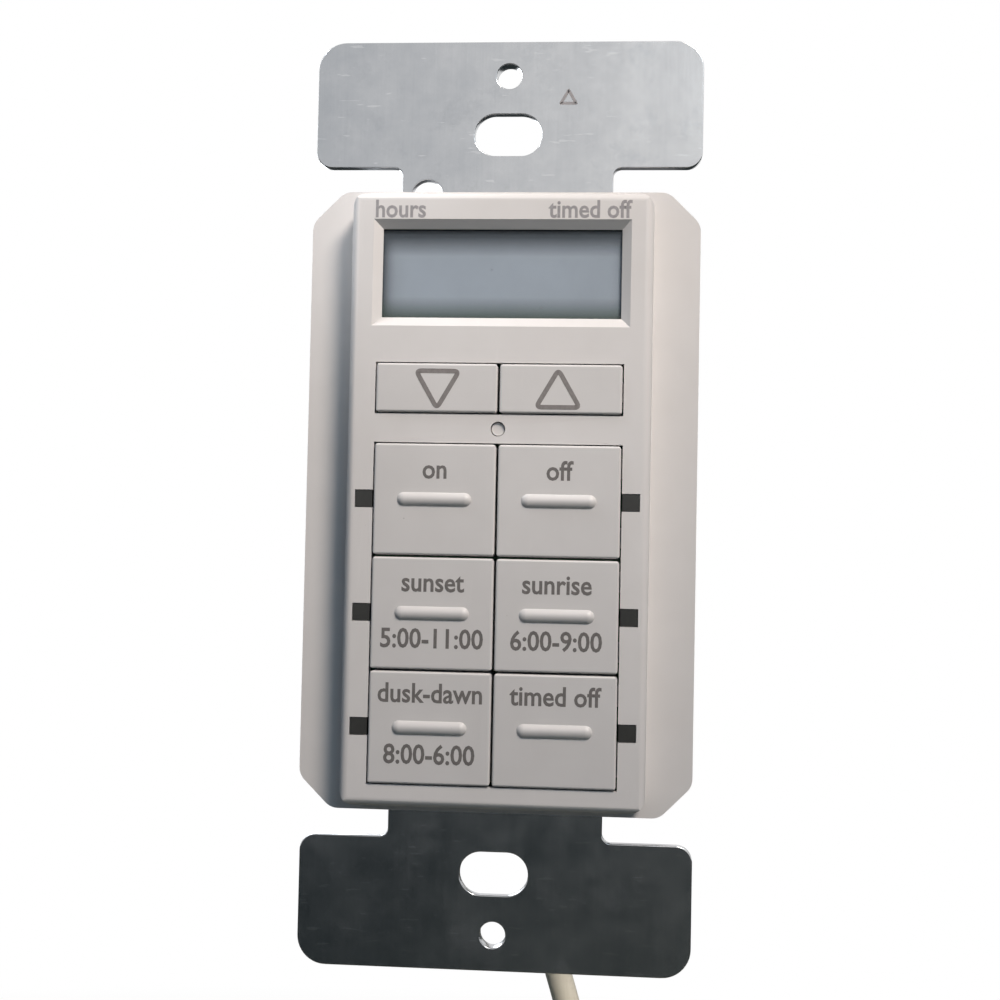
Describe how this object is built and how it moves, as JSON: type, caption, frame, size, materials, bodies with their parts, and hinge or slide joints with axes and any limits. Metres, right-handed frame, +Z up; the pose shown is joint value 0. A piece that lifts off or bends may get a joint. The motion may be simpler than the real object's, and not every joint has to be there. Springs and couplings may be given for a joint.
{
  "type": "timer light switch",
  "caption": "In-wall timer light switch: steel mounting strap with slotted ears, white bezel, display window, arrow keys and a pad of press keys with light windows.",
  "frame": {"origin": "middle of the mounting strap's hole pattern, on the strap's rear face", "axes": "+Z up, +X to the right seen from the front, front towards -Y, wall box towards +Y"},
  "size_m": [0.044, 0.0446, 0.2224],
  "materials": {
    "plated_steel": "zinc plated sheet steel, satin",
    "white_plastic": "warm white moulding, fine satin",
    "key_plastic": "warm white moulding, fine satin",
    "housing_plastic": "dark moulded plastic, satin",
    "screw_steel": "plated screw steel",
    "clear_window": "clear polished plastic",
    "lcd_glass": "reflective display behind a polariser",
    "frame_plastic": "white moulding",
    "strip_rubber": "layered elastomer",
    "insulating_film": "amber film",
    "board_laminate": "green solder mask",
    "switch_plastic": "black nylon",
    "led_resin": "clear yellow resin",
    "chip_resin": "black moulded resin",
    "can_metal": "nickel plated",
    "relay_plastic": "black moulded case",
    "film_plastic": "ochre box capacitor",
    "sleeve_plastic": "dark blue shrink sleeve",
    "varistor_resin": "blue dipped resin",
    "fuse_body": "brown ceramic coating",
    "light_pipe": "smoked clear plastic",
    "grommet_rubber": "black rubber",
    "lead_insulation": "cream extruded insulation",
    "copper_wire": "bare copper"
  },
  "bodies": {
    "base": {"mounting_strap": "plated_steel", "front_bezel": "white_plastic", "rear_housing": "housing_plastic", "housing_screws": "screw_steel", "lcd_window": "clear_window", "lcd_panel": "lcd_glass", "lcd_frame": "frame_plastic", "contact_strips": "strip_rubber", "insulating_sheet": "insulating_film", "display_board": "board_laminate", "display_board_screws": "screw_steel", "switch_bodies": "switch_plastic", "indicator_leds": "led_resin", "controller_chip": "chip_resin", "crystal": "can_metal", "backup_cell": "can_metal", "board_header": "chip_resin", "power_board": "board_laminate", "power_board_screws": "screw_steel", "relay": "relay_plastic", "film_capacitor": "film_plastic", "can_capacitor": "sleeve_plastic", "varistor": "varistor_resin", "fuse": "fuse_body", "rectifier": "chip_resin", "lead_grommets": "grommet_rubber", "neutral_lead": "lead_insulation", "neutral_lead_wire": "copper_wire", "on_light_pipe": "light_pipe", "off_light_pipe": "light_pipe", "dusk_light_pipe": "light_pipe", "dawn_light_pipe": "light_pipe", "night_light_pipe": "light_pipe", "timer_light_pipe": "light_pipe"},
    "down_press": {"down_key": "key_plastic", "down_plunger": "switch_plastic"},
    "up_press": {"up_key": "key_plastic", "up_plunger": "switch_plastic"},
    "on_press": {"on_key": "key_plastic", "on_plunger": "switch_plastic"},
    "off_press": {"off_key": "key_plastic", "off_plunger": "switch_plastic"},
    "dusk_press": {"dusk_key": "key_plastic", "dusk_plunger": "switch_plastic"},
    "dawn_press": {"dawn_key": "key_plastic", "dawn_plunger": "switch_plastic"},
    "night_press": {"night_key": "key_plastic", "night_plunger": "switch_plastic"},
    "timer_press": {"timer_key": "key_plastic", "timer_plunger": "switch_plastic"},
    "reset_press": {"reset_pin": "white_plastic", "reset_plunger": "switch_plastic"}
  },
  "joints": [
    {"name": "down_travel", "type": "slide", "parent": "base", "child": "down_press", "axis": [0, 1, 0], "range_m": [0, 0.00035], "stiffness_N_per_m": 2500},
    {"name": "up_travel", "type": "slide", "parent": "base", "child": "up_press", "axis": [0, 1, 0], "range_m": [0, 0.00035], "stiffness_N_per_m": 2500},
    {"name": "on_travel", "type": "slide", "parent": "base", "child": "on_press", "axis": [0, 1, 0], "range_m": [0, 0.00035], "stiffness_N_per_m": 2500},
    {"name": "off_travel", "type": "slide", "parent": "base", "child": "off_press", "axis": [0, 1, 0], "range_m": [0, 0.00035], "stiffness_N_per_m": 2500},
    {"name": "dusk_travel", "type": "slide", "parent": "base", "child": "dusk_press", "axis": [0, 1, 0], "range_m": [0, 0.00035], "stiffness_N_per_m": 2500},
    {"name": "dawn_travel", "type": "slide", "parent": "base", "child": "dawn_press", "axis": [0, 1, 0], "range_m": [0, 0.00035], "stiffness_N_per_m": 2500},
    {"name": "night_travel", "type": "slide", "parent": "base", "child": "night_press", "axis": [0, 1, 0], "range_m": [0, 0.00035], "stiffness_N_per_m": 2500},
    {"name": "timer_travel", "type": "slide", "parent": "base", "child": "timer_press", "axis": [0, 1, 0], "range_m": [0, 0.00035], "stiffness_N_per_m": 2500},
    {"name": "reset_travel", "type": "slide", "parent": "base", "child": "reset_press", "axis": [0, 1, 0], "range_m": [0, 0.00035], "stiffness_N_per_m": 2500}
  ]
}
